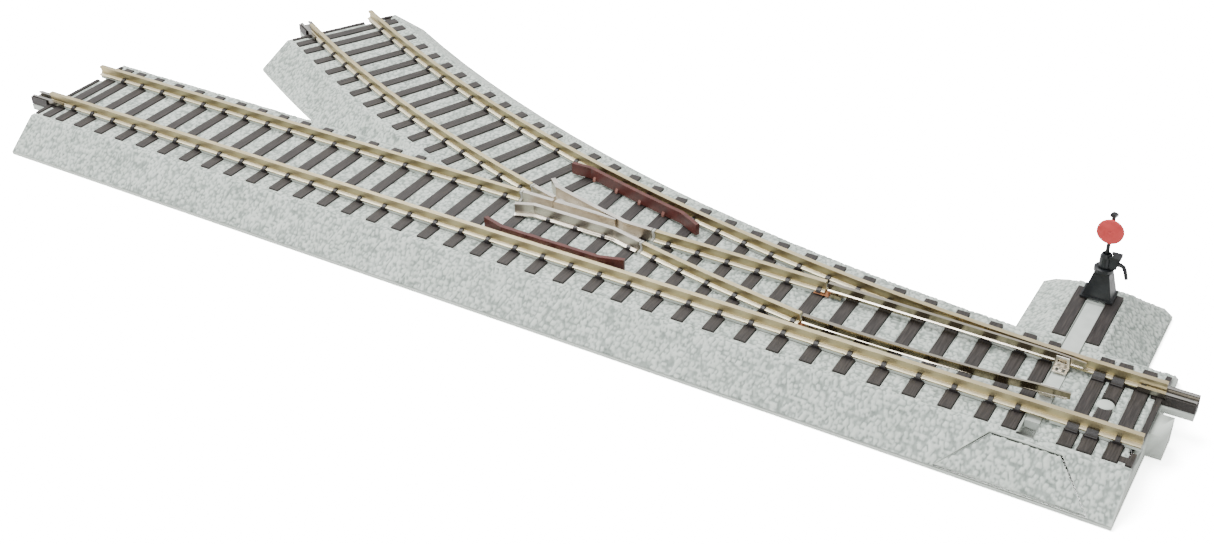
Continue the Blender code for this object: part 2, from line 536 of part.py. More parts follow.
crank_end = (sx - CRANK_R * cos(radians(45)), sy + CRANK_R * sin(radians(45)))
spindle = joined("target_spindle", "stand_black", [
    turned(sx, sy, [(0.75, 4.2), (0.75, 23.0), (0.55, 23.2), (0.55, 36.2)], 16),
    swept([(sx + 0.9, sy - 0.9), (crank_end[0] - 0.8, crank_end[1] + 0.8)], slab(1.2, 4.2, 5.3)),
    turned(*crank_end, [(0.6, 5.0), (0.6, 7.2)], 12)], (sx, sy, 0))
for polygon in spindle.data.polygons:
    polygon.use_smooth = len(polygon.vertices) == 4
add_object("stand_head", "stand_black", [tube(sx, sy, [(HEAD_R, 20.5), (HEAD_R, 23.6), (1.3, 24.6)],
                                              [(1.05, 20.5), (1.05, 24.6)], 16)], (sx, sy, 0), True)
def bracket_ring(z, reach, half_wide):
    """Straight outside, and hollow towards the stand's head."""
    round_head = HEAD_R + GAP
    turns = [asin(half_wide / round_head) * k / 2 for k in (2, 1, 0, -1, -2)]
    hollow_side = [(round_head * cos(a), round_head * sin(a)) for a in turns]
    return [(sx + x, sy + y, z) for x, y in [(reach, -half_wide), (reach, half_wide)] + hollow_side]


add_object("lever_bracket", "stand_black", [loft([bracket_ring(*r) for r in (
    (20.7, 3.4, 1.35), (23.6, 3.6, 1.45), (23.6, 4.1, 1.7), (24.6, 4.1, 1.7))])], (sx, sy, 0))
lever_path = [(3.75, 21.5), (4.4, 21.6), (5.3, 20.9), (5.9, 19.6), (6.4, 18.0)]
LEVER_R = 0.5
lever_rings = []
for i, (x, z) in enumerate(lever_path):
    before, after = lever_path[max(i - 1, 0)], lever_path[min(i + 1, len(lever_path) - 1)]
    angle = atan2(after[1] - before[1], after[0] - before[0])
    lever_rings.append([(sx + x - LEVER_R * sin(angle) * cos(a), sy + LEVER_R * sin(a), z + LEVER_R * cos(angle) * cos(a))
                        for a in (2 * pi * k / 8 for k in range(8))])
add_object("hand_lever", "stand_black", [loft(lever_rings)], (sx, sy, 0), True)

disc_z = 32.3


def disc_ring(radius, y):
    return [(sx + radius * cos(2 * pi * i / 20), y, disc_z + radius * sin(2 * pi * i / 20)) for i in range(20)]


add_object("target_disc", "target_red", [loft([disc_ring(3.35, sy - 1.6), disc_ring(3.5, sy - 1.45),
                                               disc_ring(3.5, sy - 0.85)])], (sx, sy, 0))
corners = [(1.2 * cos(radians(a)), 1.2 * sin(radians(a))) for a in (25, 115, 205, 295)]
add_object("finial", "stand_black", [loft([[(sx + x * s, sy + y * s, z) for x, y in corners]
                                           for z, s in ((36.5, 0.85), (36.8, 1.0), (37.6, 0.9))])], (sx, sy, 0))

# ---- joiners, the friction spring, and the cover under the mechanism ----
JOINER = [(1.97, 10.6), (1.97, 11.95), (0.95, 11.95), (0.95, 11.73), (1.75, 11.73), (1.75, 10.82)]
JOINER += [(-side, z) for side, z in JOINER[::-1]]
for label, path in (("main", [(-8.0, -GAUGE_HALF), (7.0, -GAUGE_HALF)]),
                    ("toe", [(LENGTH - 7.0, GAUGE_HALF), (LENGTH + 8.0, GAUGE_HALF)]),
                    ("branch", [tuple(branch_tip + end_way * 8.0), tuple(branch_tip - end_way * 7.0)])):
    add_object("rail_joiner_" + label, "nickel_plate", [swept(path, JOINER)])

add_object("friction_spring", "brass", [prism([
    (346.85, 33.0), (346.85, 41.0), (346.2, 47.0), (346.85, 53.0), (346.5, 53.0), (345.8, 47.0), (346.5, 41.0),
    (346.5, 33.0)], 5.9, 7.2)])
add_object("mechanism_cover", "bar_plastic", [box(339.6, 367.7, 26.0, 58.6, 0.5, 1.7)])
boolean(bpy.data.objects["mechanism_cover"], cutter("cover_holes", [
    turned(PLATFORM_X, y, [(1.2, 0), (1.2, 3)], 12) for y in (28.6, 56.0)]))
for label, y in (("near", 28.6), ("far", 56.0)):
    add_object(f"cover_screw_{label}", "steel",
               [turned(PLATFORM_X, y, [(1.7, 0.0), (1.7, 0.2), (0.9, 0.2), (0.9, 3.6)], 12)], smooth=True)

# ---- centre the footprint on the origin ----
bpy.context.view_layer.update()
shown = [o for o in bpy.data.objects if not o.hide_render]
corners = [o.matrix_world @ Vector(c) for o in shown for c in o.bound_box]
middle = [(min(c[i] for c in corners) + max(c[i] for c in corners)) / 2 for i in (0, 1)]
for obj in bpy.data.objects:
    obj.location.x -= middle[0]
    obj.location.y -= middle[1]
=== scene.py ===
# %% [markdown]
# # A model railway turnout, dressed for a studio picture
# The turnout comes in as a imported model: roadbed, ties, rails, blades, a swing-nose frog and a
# small switch stand, each already a solid in its true place. This notebook leaves those solids
# where they are and gives them what a solid alone lacks: cobbled ballast, wood grain, spikes,
# drawn metal and moulded plastic. It is read from top to bottom, one small step per cell.

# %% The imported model
from math import asin, cos, degrees, pi, radians, sin, sqrt

import bmesh
import bpy
from mathutils import Matrix, Quaternion, Vector, noise
from mathutils.bvhtree import BVHTree
from mathutils.geometry import delaunay_2d_cdt


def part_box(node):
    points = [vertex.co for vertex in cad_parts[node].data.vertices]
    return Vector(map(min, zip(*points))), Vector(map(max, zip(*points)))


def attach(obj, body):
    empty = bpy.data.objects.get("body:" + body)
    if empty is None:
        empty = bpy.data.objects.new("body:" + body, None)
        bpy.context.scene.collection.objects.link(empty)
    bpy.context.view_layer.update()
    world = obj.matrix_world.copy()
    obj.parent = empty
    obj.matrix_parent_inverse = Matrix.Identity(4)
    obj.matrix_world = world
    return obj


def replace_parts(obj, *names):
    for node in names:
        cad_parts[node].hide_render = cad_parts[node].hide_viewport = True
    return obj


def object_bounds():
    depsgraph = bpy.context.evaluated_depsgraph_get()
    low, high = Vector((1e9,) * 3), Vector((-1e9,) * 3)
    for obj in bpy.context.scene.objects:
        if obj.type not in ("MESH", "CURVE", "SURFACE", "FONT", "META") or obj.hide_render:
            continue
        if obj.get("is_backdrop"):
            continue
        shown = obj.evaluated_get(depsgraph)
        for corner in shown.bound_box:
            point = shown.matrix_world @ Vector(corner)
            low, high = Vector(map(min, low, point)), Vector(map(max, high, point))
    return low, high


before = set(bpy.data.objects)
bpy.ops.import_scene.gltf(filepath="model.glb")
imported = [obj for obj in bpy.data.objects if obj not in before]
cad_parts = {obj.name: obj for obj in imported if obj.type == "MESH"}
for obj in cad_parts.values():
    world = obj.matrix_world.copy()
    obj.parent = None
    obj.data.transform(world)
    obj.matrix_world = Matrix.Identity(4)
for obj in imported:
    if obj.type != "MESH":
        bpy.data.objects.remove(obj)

MM = 0.001
cad_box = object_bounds()

# %% [markdown]
# ## One drawing, one ruler
# A turnout is drawn from the left end of its straight track. Everything below is given in
# millimetres from there, and one function turns such a spot into the model's own frame. The near
# rail is a straight bar whose ends and middle are known, so it serves as the ruler's zero.

# %% The ruler
GAUGE_HALF = 11.92       # track centre to rail centre
LENGTH = 381.0           # the straight track
RADIUS = 652.9           # centre line of the branch
ARC_START = 376.5        # where the branch leaves the straight
ARC_DEG = 29.95          # how far the branch turns

rail_low, rail_high = (Vector(corner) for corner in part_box("near_stock_rail"))
LEFT_END = rail_low.x
MAIN_LINE = (rail_low.y + rail_high.y) / 2 + GAUGE_HALF * MM


def at(x, y, z=0.0):
    """A spot of the drawing, in mm, as a point of the model's frame, in metres."""
    return Vector((LEFT_END + x * MM, MAIN_LINE + y * MM, z * MM))


def branch(angle, offset=0.0):
    """A spot on the branch at an angle in degrees, offset to the far side of its centre line."""
    reach = RADIUS - offset
    return ARC_START - reach * sin(radians(angle)), RADIUS - reach * cos(radians(angle))


def curve_y(x, offset):
    """The y of a line that runs beside the branch's centre, at x."""
    return RADIUS - sqrt((RADIUS - offset) ** 2 - (ARC_START - x) ** 2)


def curve_turn(x, offset):
    """How far that line has turned at x, in degrees."""
    return degrees(asin(max(0.0, ARC_START - x) / (RADIUS - offset)))


print("zero of the drawing:", [round(v, 5) for v in at(0, 0)])

# %% [markdown]
# ## Colour and nodes
# Colours are picked as sRGB hex, the way a paint chart or a web page names them, but a shader
# works in linear light, so one function converts them. A second small function adds a node, sets
# its values and draws its links: that keeps each recipe as short as its description.

# %% Helpers for finishes


def srgb(code):
    """A hex colour as linear red, green, blue and alpha."""
    parts = [int(code[i:i + 2], 16) / 255 for i in (0, 2, 4)]
    return tuple(p / 12.92 if p <= 0.04045 else ((p + 0.055) / 1.055) ** 2.4 for p in parts) + (1.0,)


def add(tree, kind, inputs=None, **settings):
    """Adds a node; an input that is another node's socket becomes a link."""
    made = tree.nodes.new(kind)
    for name, value in settings.items():
        setattr(made, name, value)
    for socket, value in (inputs or {}).items():
        if isinstance(value, bpy.types.NodeSocket):
            tree.links.new(value, made.inputs[socket])
        else:
            made.inputs[socket].default_value = value
    return made


def new_finish(name, colour, roughness, metallic=0.0):
    """A Principled material; returns it with its tree, its shader and the object's own metres."""
    made = bpy.data.materials.new(name)
    made.use_nodes = True
    tree = made.node_tree
    shader = tree.nodes["Principled BSDF"]
    shader.inputs["Base Color"].default_value = srgb(colour)
    shader.inputs["Roughness"].default_value = roughness
    shader.inputs["Metallic"].default_value = metallic
    made.diffuse_color = srgb(colour)
    return made, tree, shader, add(tree, "ShaderNodeTexCoord").outputs["Object"]


def cloud(tree, where, size_mm, detail=3.0, stretch=(1, 1, 1)):
    """Soft noise whose blotches are about size_mm across, drawn out by stretch."""
    scaled = add(tree, "ShaderNodeMapping", {"Vector": where, "Scale": [1 / s for s in stretch]})
    found = add(tree, "ShaderNodeTexNoise", {
        "Vector": scaled.outputs["Vector"], "Scale": 1 / (size_mm * MM), "Detail": detail})
    return found.outputs["Fac"]


def shades(tree, factor, *stops):
    """Colours laid over a factor: (place, hex) pairs, at least two."""
    ramp = add(tree, "ShaderNodeValToRGB", {"Fac": factor})
    while len(ramp.color_ramp.elements) < len(stops):
        ramp.color_ramp.elements.new(0.5)
    for element, (place, code) in zip(ramp.color_ramp.elements, stops):
        element.position, element.color = place, srgb(code)
    return ramp.outputs["Color"]


def tinted(tree, colour, tint):
    """One colour multiplied by another."""
    inputs = {"Fac": 1.0, "Color1": colour, "Color2": tint}
    return add(tree, "ShaderNodeMixRGB", inputs, blend_type="MULTIPLY").outputs["Color"]


def between(tree, factor, low, high):
    """A factor of 0.3 to 0.7 spread between two numbers, such as two roughness values."""
    return add(tree, "ShaderNodeMapRange", {
        "Value": factor, "From Min": 0.3, "From Max": 0.7, "To Min": low, "To Max": high}).outputs["Result"]


def relief(tree, height, depth_mm, shader, under=None):
    """Bump of a real depth on the shader, over another bump if one is given."""
    inputs = {"Height": height, "Distance": depth_mm * MM, "Strength": 1.0}
    if under is not None:
        inputs["Normal"] = under
    bump = add(tree, "ShaderNodeBump", inputs).outputs["Normal"]
    tree.links.new(bump, shader.inputs["Normal"])
    return bump


# %% [markdown]
# ## Ballast: injection-moulded polystyrene
# The roadbed is one moulding in pale grey, cut in its tool to look like crushed stone. Plastic
# gives it an even colour with a soft sheen; the gaps between stones are painted darker, as painted
# shade, and that does most of the work. The stones themselves are modelled further down; each point
# then carries how deep it lies, so the painted shade of the gaps follows the real shape. A fine
# bump of 0.4 mm stands for the spark-eroded surface of the tool.

# %% Ballast finish
ballast_stone, tree, shader, where = new_finish("moulded_polystyrene_ballast", "C4CBC5", 0.62)
depth = add(tree, "ShaderNodeAttribute", attribute_name="gap_depth").outputs["Fac"]
# Painted shade: the deeper a point lies in a gap between stones, the darker its colour.
gap_painted_shade = shades(tree, depth, (0.0, "CCD2CB"), (0.3, "C1C8C2"), (0.65, "9CA59F"), (1.0, "6D7671"))
blotch = shades(tree, cloud(tree, where, 9.0, 4.0), (0.3, "EEF0EE"), (0.7, "FFFFFF"))
tree.links.new(tinted(tree, gap_painted_shade, blotch), shader.inputs["Base Color"])
tree.links.new(between(tree, cloud(tree, where, 2.0), 0.55, 0.7), shader.inputs["Roughness"])
relief(tree, cloud(tree, where, 0.4, 2.0), 0.05, shader)
print(ballast_stone.name)

# %% [markdown]
# ## Ties: dark moulded plastic with cut wood grain
# Ties on a model are brown-black polystyrene whose tool was engraved with grain, so the grain runs
# along each tie. On the straight that is across the track; on the branch every tie points at the
# centre of the curve. Instead of turning the pattern tie by tie, the finish measures each spot by
# its distance and angle from that centre, and a simple rule says which of the two kinds of tie a
# spot is on. Real grain lines on this scale are under 0.1 mm, too fine to show, so they are
# drawn 0.45 mm apart.

# %% Tie finish
CURVE_CENTRE = at(ARC_START, RADIUS)
SLANT = 0.4              # a line that leans this much parts the branch's ties from the straight's
BRANCH_BEYOND = at(0, 76.3).y + SLANT * at(0, 0).x
BRANCH_ABOVE, BRANCH_LEFT = at(0, 16.3).y, at(201, 0).x


def number(tree, operation, *values):
    """One sum on numbers or sockets."""
    return add(tree, "ShaderNodeMath", dict(enumerate(values)), operation=operation).outputs[0]


def grain_places(tree, where):
    """(across the grain, along the grain, height) for every tie, straight or branch, in metres."""
    spot = add(tree, "ShaderNodeSeparateXYZ", {"Vector": where})
    x, y = spot.outputs["X"], spot.outputs["Y"]
    from_x = number(tree, "SUBTRACT", CURVE_CENTRE.x, x)
    from_y = number(tree, "SUBTRACT", CURVE_CENTRE.y, y)
    turn = number(tree, "MULTIPLY", number(tree, "ARCTAN2", from_x, from_y), RADIUS * MM)
    reach = number(tree, "SQRT", number(tree, "ADD", number(tree, "MULTIPLY", from_x, from_x),
                                        number(tree, "MULTIPLY", from_y, from_y)))
    slant = number(tree, "ADD", number(tree, "MULTIPLY", x, SLANT), y)
    beyond = number(tree, "GREATER_THAN", slant, BRANCH_BEYOND)
    above = number(tree, "GREATER_THAN", y, BRANCH_ABOVE)
    left = number(tree, "LESS_THAN", x, BRANCH_LEFT)
    on_branch = number(tree, "MULTIPLY", number(tree, "MULTIPLY", beyond, above), left)
    straight = add(tree, "ShaderNodeCombineXYZ", {"X": x, "Y": y, "Z": spot.outputs["Z"]})
    round_it = add(tree, "ShaderNodeCombineXYZ", {"X": turn, "Y": reach, "Z": spot.outputs["Z"]})
    return add(tree, "ShaderNodeMixRGB", {"Fac": on_branch, "Color1": straight.outputs["Vector"],
                                          "Color2": round_it.outputs["Vector"]}).outputs["Color"]


tie_plastic, tree, shader, where = new_finish("moulded_polystyrene_ties", "272322", 0.5)
along = grain_places(tree, where)
grain = cloud(tree, along, 0.45, 4.0, (1, 14, 1))
wood = shades(tree, grain, (0.32, "191513"), (0.5, "25201E"), (0.7, "38322E"))
tree.links.new(wood, shader.inputs["Base Color"])
tree.links.new(between(tree, grain, 0.42, 0.6), shader.inputs["Roughness"])
relief(tree, grain, 0.12, shader)

spike_plastic, tree, shader, where = new_finish("moulded_polystyrene_spikes", "1D1A1A", 0.42)
tree.links.new(shades(tree, cloud(tree, where, 0.8), (0.3, "161313"), (0.7, "272323")),
               shader.inputs["Base Color"])
relief(tree, cloud(tree, where, 0.3, 2.0), 0.03, shader)
print(tie_plastic.name, spike_plastic.name)

# %% [markdown]
# ## Nickel silver: drawn rail
# Rail is drawn through a die from nickel silver, an alloy of copper, nickel and zinc with a pale
# straw colour. Drawing leaves very fine lines along the bar, which the head loses where trains
# and cleaning polish it. The colour is a metal's, the roughness is in the middle, and a faint
# noise, long along the bar, breaks up the reflection. The blades are the same alloy rolled
# into sheet, which is much shinier: they mirror the ties beneath them. Shade and highlight are
# also painted into the colour: the finish looks at which way a face points, and multiplies its
# colour by a darker tone on upright sides (painted shade), by none on sloped faces such as the
# rail's foot, which stay brightest (painted highlight), and by another tone on level tops, which
# are painted a little duller than the slopes.

# %% Rail and blade finishes


def drawn_metal(name, light, dark, rough, size_mm, depth_mm, side=None, top="FFFFFF"):
    """A metal with faint marks along the track and a little tarnish; side and top are painted shade tones
    set by which way a face points.
    """
    made, tree, shader, where = new_finish(name, light, sum(rough) / 2, 1.0)
    marks = cloud(tree, where, size_mm, 3.0, (40, 2, 1))
    patches = cloud(tree, where, 6.0, 3.0)
    bright = shades(tree, patches, (0.3, dark), (0.62, light))
    if side:
        # Painted light: upright faces take the side tone (painted shade), sloped faces keep full brightness
        # (painted highlight), level tops take the top tone.
        faces_up = add(tree, "ShaderNodeTexCoord").outputs["Normal"]
        up = add(tree, "ShaderNodeSeparateXYZ", {"Vector": faces_up}).outputs["Z"]
        facing_painted_light = shades(tree, up, (0.2, side), (0.75, "FFFFFF"), (0.965, "FFFFFF"), (0.99, top))
        bright = tinted(tree, bright, facing_painted_light)
    tree.links.new(bright, shader.inputs["Base Color"])
    tree.links.new(between(tree, marks, *rough), shader.inputs["Roughness"])
    relief(tree, marks, depth_mm, shader)
    return made


# side and top below are painted shade on upright faces and on level tops.
rail_metal = drawn_metal("drawn_nickel_silver", "FBF3DA", "F1E7C9", (0.34, 0.42), 0.25, 0.001,
                         side="BBB49E", top="DFD9C9")
blade_metal = drawn_metal("rolled_nickel_silver_sheet", "E2DBCC", "D5CDBB", (0.14, 0.22), 0.3, 0.001,
                          side="A39C8C")
frog_plate = drawn_metal("nickel_plated_casting", "F3EFE7", "E4DED3", (0.26, 0.36), 0.6, 0.001,
                         side="D6D1C7")
joiner_plate = drawn_metal("nickel_plated_joiner", "D2D0CC", "B9B6B1", (0.22, 0.34), 0.4, 0.001,
                           side="A09C94")

# %% [markdown]
# ## The small metals
# Heel contacts are phosphor bronze and look like copper; the friction spring is brass; the heel
# pins, the crank and the hidden screws are zinc plated steel. Each is a plain metal with its own
# colour and a little stain.

# %% Copper, brass and steel
copper_strip = drawn_metal("rolled_phosphor_bronze", "DDA583", "C98A66", (0.3, 0.45), 0.4, 0.002)
turned_brass = drawn_metal("turned_brass", "D9B878", "B8945A", (0.22, 0.34), 0.4, 0.004)
zinc_steel = drawn_metal("zinc_plated_steel", "B9BBBC", "A0A2A4", (0.25, 0.4), 0.4, 0.004)

# %% [markdown]
# ## The other plastics
# Guard rails are moulded in a dark oxide red, the stand in black, its target in signal red, the
# throw bar in slippery pale acetal, and the insulating blocks in a warmer grey. All are injection
# moulded: a smooth skin with a faint orange peel, a touch of lighter wear, and the 1.5 index of
# plastic.

# %% Moulded plastics


def moulded(name, dark, light, rough, peel_mm=0.5, depth_mm=0.012):
    """Injection-moulded plastic with slight clouds of colour and an orange-peel skin."""
    made, tree, shader, where = new_finish(name, light, sum(rough) / 2)
    clouds = shades(tree, cloud(tree, where, 3.0, 4.0), (0.3, dark), (0.7, light))
    tree.links.new(clouds, shader.inputs["Base Color"])
    tree.links.new(between(tree, cloud(tree, where, 1.2), *rough), shader.inputs["Roughness"])
    relief(tree, cloud(tree, where, peel_mm, 2.0), depth_mm, shader)
    return made


guard_red = moulded("moulded_oxide_red_plastic", "431E19", "582A25", (0.36, 0.48))
stand_black = moulded("moulded_black_plastic", "101214", "1E2124", (0.3, 0.42))
signal_red = moulded("moulded_signal_red_plastic", "C23A3A", "D24747", (0.4, 0.5))
pale_acetal = moulded("moulded_grey_acetal", "B9C0BA", "C7CDC8", (0.34, 0.44))
insulator_plastic = moulded("moulded_insulator_plastic", "A9A9A0", "BDBDB4", (0.3, 0.4))

# %% [markdown]
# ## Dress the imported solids
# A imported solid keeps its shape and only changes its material. One table says which finish each
# wears. Bars also get their edges rounded by about 0.1 mm, because a real drawn or moulded edge
# is never a perfect corner, and the thin highlight along it makes metal look like metal.

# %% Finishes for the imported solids
DRESS = {
    tie_plastic: ["tie_moulding", "head_ties", "stand_ties"],
    rail_metal: ["near_stock_rail", "curved_stock_rail", "main_exit_rail", "branch_inner_rail",
                 "straight_closure_rail", "curved_closure_rail"],
    blade_metal: ["straight_blade", "curved_blade", "straight_blade_clip", "curved_blade_clip"],
    frog_plate: ["frog_casting", "frog_point"],
    joiner_plate: ["rail_joiner_main", "rail_joiner_toe", "rail_joiner_branch"],
    copper_strip: ["straight_heel_contact", "curved_heel_contact"],
    turned_brass: ["friction_spring"],
    zinc_steel: ["straight_heel_rivet", "curved_heel_rivet", "frog_crank", "lever_screw",
                 "cover_screw_near", "cover_screw_far"],
    guard_red: ["guard_rail_main", "guard_rail_branch"],
    stand_black: ["stand_base", "target_spindle", "stand_head", "lever_bracket", "hand_lever", "finial"],
    signal_red: ["target_disc"],
    pale_acetal: ["throw_bar", "frog_lever", "mechanism_cover"],
    insulator_plastic: ["insulator_exit", "insulator_branch", "insulator_straight", "insulator_curved"],
    ballast_stone: ["roadbed", "breakout_panel"],
}
EASED = {rail_metal: 0.1, blade_metal: 0.06, frog_plate: 0.1, guard_red: 0.15, insulator_plastic: 0.08}

for finish, names in DRESS.items():
    for name in names:
        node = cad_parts[name]
        node.data.materials.clear()
        node.data.materials.append(finish)
        if finish in EASED:
            ease = node.modifiers.new("eased_edges", "BEVEL")
            ease.width, ease.segments, ease.limit_method = EASED[finish] * MM, 2, "ANGLE"
            ease.angle_limit = radians(30)
dressed = {name for names in DRESS.values() for name in names}
print("dressed", len(dressed), "of", len(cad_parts), "missing:", sorted(set(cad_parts) - dressed))

# %% [markdown]
# ## Ballast as real relief
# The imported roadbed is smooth. Its stones could be bump alone, but bump leaves the outline flat,
# and the shape would be missing from the mesh. So the roadbed is copied and the smooth faces of
# its deck and slopes are taken off. A grid of points 0.5 mm apart is dropped onto them, each point
# between two stones is pushed in, and a Delaunay triangulation, held to the old faces' rim,
# closes the skin again. Voronoi cells give the stones: a point's distance to its nearest seed
# and to its second nearest differ little along a gap and much on a stone. The stones' tops stay
# where the smooth surface was, so nothing grows.

# %% Stones
STONE = 1.5              # mm across
GAP_DEEP = 0.42          # mm
GRID = 0.5    # mm between points


def stone_gap(spot):
    """0 on a stone and 1 in a gap, at a point in mm."""
    near, second = noise.voronoi(spot / STONE)[0][:2]
    rise = min(1.0, (second - near) / 0.36)
    worn = 0.85 + 0.15 * noise.noise(spot / 3.1)
    return (1 - rise * rise * (3 - 2 * rise)) * worn


def is_stony(face):
    """Deck and slopes, but not pocket floors, walls or the hollow side."""
    z = face.calc_center_median().z / MM
    deck = face.normal.z > 0.98 and 9.9 < z < 10.1
    return deck or (0.6 < face.normal.z < 0.9 and 0.95 < z < 10.0)


def dropped_grid(below, anchors):
    """Points of a staggered grid over the anchors, dropped onto the smooth surface, with its normals."""
    low = [min(v.co[i] for v in anchors) for i in (0, 1)]
    high = [max(v.co[i] for v in anchors) for i in (0, 1)]
    drops = []
    for row in range(int((high[1] - low[1]) / (GRID * MM)) + 1):
        for column in range(int((high[0] - low[0]) / (GRID * MM)) + 1):
            x = low[0] + (column + (0.25 if row % 2 else 0.75)) * GRID * MM
            y = low[1] + (row + 0.5) * GRID * MM
            spot, normal, _, _ = below(x, y)
            if spot is not None:
                drops.append((spot, normal))
    return drops


def close_skin(work):
    """Takes off what no face uses, fills small holes and returns how many edges stay open."""
    bmesh.ops.delete(work, geom=[e for e in work.edges if not e.link_faces], context="EDGES")
    bmesh.ops.delete(work, geom=[v for v in work.verts if not v.link_faces], context="VERTS")
    bmesh.ops.holes_fill(work, edges=[e for e in work.edges if len(e.link_faces) == 1], sides=12)
    bmesh.ops.recalc_face_normals(work, faces=work.faces)
    return sum(len(e.link_faces) != 2 for e in work.edges)


# %% Cobbled copies of the roadbed and its panel
def cobbled(node_name, piece_name):
    """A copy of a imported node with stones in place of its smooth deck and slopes."""
    work = bmesh.new()
    work.from_mesh(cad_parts[node_name].data)
    depth_layer = work.verts.layers.float.new("gap_depth")
    bmesh.ops.remove_doubles(work, verts=work.verts, dist=0.002 * MM)
    work.normal_update()
    stony = [face for face in work.faces if is_stony(face)]
    under = BVHTree.FromPolygons([v.co for v in work.verts], [[v.index for v in f.verts] for f in stony])

    def below(x, y):
        return under.ray_cast(Vector((x, y, 1.0)), Vector((0, 0, -1)))

    listed = set(stony)
    rim = [e for e in work.edges if sum(f in listed for f in e.link_faces) == 1]
    anchors = list({v for e in rim for v in e.verts})
    order = {v: i for i, v in enumerate(anchors)}
    drops = dropped_grid(below, anchors)
    flat = [v.co.xy / MM for v in anchors] + [spot.xy / MM for spot, _ in drops]
    cut = delaunay_2d_cdt(flat, [(order[e.verts[0]], order[e.verts[1]]) for e in rim], [], 1, 1e-5)
    new_points, triangles, from_points = cut[0], cut[2], cut[3]
    bmesh.ops.delete(work, geom=stony, context="FACES_ONLY")
    verts = []
    for point, sources in zip(new_points, from_points):
        source = sources[0] if sources else None
        if source is not None and source < len(anchors):
            verts.append(anchors[source])
            continue
        if source is None:       # two rims that touch: the point stays on the old surface
            verts.append(work.verts.new(under.find_nearest(Vector((*point * MM, 10 * MM)))[0]))
            continue
        spot, normal = drops[source - len(anchors)]
        gap = stone_gap(spot / MM)
        verts.append(work.verts.new(spot - normal * (GAP_DEEP * MM * gap)))
        verts[-1][depth_layer] = gap
    for triangle in triangles:
        middle = sum((new_points[i] for i in triangle), Vector((0, 0))) / 3 * MM
        if below(*middle)[0] is not None:
            work.faces.new([verts[i] for i in triangle])
    open_edges = close_skin(work)
    mesh = bpy.data.meshes.new(piece_name)
    work.to_mesh(mesh)
    work.free()
    mesh.polygons.foreach_set("use_smooth", [True] * len(mesh.polygons))
    mesh.set_sharp_from_angle(angle=radians(50))
    mesh.materials.append(ballast_stone)
    piece = bpy.data.objects.new(piece_name, mesh)
    bpy.context.scene.collection.objects.link(piece)
    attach(piece, "base")
    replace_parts(piece, node_name)
    print(piece_name, len(mesh.polygons), "faces,", open_edges, "open edges")


cobbled("roadbed", "ballast_roadbed")
cobbled("breakout_panel", "ballast_breakout_panel")

# %% [markdown]
# ## Tie plates and spikes
# Real rail is spiked to wooden ties; on this model the tie moulding carries a plate under the rail
# and a hooked spike head on each side that grips the foot of the rail. They repeat over two
# hundred times, so one section is drawn once, in mm out from the rail's middle, and copied to
# every crossing of a rail and a tie, turned with the rail. Ties beside the moving blades have no
# spikes on the blades' side, and the two long ties by the points carry wide chairs instead.

# %% A mesh kept as points and faces


class Pieces:
    """Collects closed shells in mm of the drawing and makes one object of them."""

    def __init__(self):
        self.points, self.faces = [], []

    def rings(self, rings):
        """A closed shell through rings of equal length, capped at both ends."""
        start, count = len(self.points), len(rings[0])
        for ring in rings:
            self.points += [at(*p) for p in ring]
        last = start + (len(rings) - 1) * count
        self.faces += [list(range(start, start + count))[::-1], list(range(last, last + count))]
        for row in range(len(rings) - 1):
            low = start + row * count
            self.faces += [[low + i, low + (i + 1) % count, low + count + (i + 1) % count, low + count + i]
                           for i in range(count)]

    def made(self, name, body, finish, slot, smooth=None, ease=0.0):
        """The object; smooth is an angle in degrees and ease an edge rounding in mm."""
        mesh = bpy.data.meshes.new(name)
        mesh.from_pydata(self.points, [], self.faces)
        work = bmesh.new()
        work.from_mesh(mesh)
        bmesh.ops.recalc_face_normals(work, faces=work.faces)
        work.to_mesh(mesh)
        work.free()
        mesh.materials.append(finish)
        if smooth:
            mesh.polygons.foreach_set("use_smooth", [True] * len(mesh.polygons))
            mesh.set_sharp_from_angle(angle=radians(smooth))
        piece = bpy.data.objects.new(name, mesh)
        bpy.context.scene.collection.objects.link(piece)
        if ease:
            rounding = piece.modifiers.new("eased_edges", "BEVEL")
            rounding.width, rounding.segments, rounding.limit_method = ease * MM, 2, "ANGLE"
        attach(piece, body)
        print(name, len(mesh.polygons), "faces")
        return piece


def crossing(x, y, turn):
    """Turns (along, side, z) at a rail into a spot of the drawing; turn is clockwise, in degrees."""
    ahead = Vector((cos(radians(turn)), -sin(radians(turn))))
    return lambda along, side, z: (x + ahead.x * along - ahead.y * side,
                                   y + ahead.y * along + ahead.x * side, z)


# %% Where rails cross ties
TIE_PITCH = 9.757
MAIN_TIES = [11.67] + [20.67 + TIE_PITCH * i for i in range(34)] + [349.8]
BRANCH_TIES = [28.8] + [27.92 - 0.883 * i for i in range(14)]
LAST_TIE = 375.3
CHAIRS = (364.05, 369.0)
FROG_FROM, FROG_TO = 180, 231          # the frog stands on these ties, so the inner rails need no spikes
BLADES_FROM = 286                      # from here on, the inner rails are the moving blades
NEAR_CLEAR, FAR_CLEAR = 296, 312       # from here on, a stock rail has no spikes on its blade's side
CURVED_STOCK_FROM = 196                # left of this the branch's own ties carry its far rail
BRANCH_INNER_FROM = 16.9               # degrees; the branch's near rail leaves the frog here
WING_TIES = MAIN_TIES[18:23]
WING_BEND, WING_Y = 219, 6.95          # the near wing rail is straight up to its bend
BOTH, NEAR, FAR = (-1, 1), (-1,), (1,)

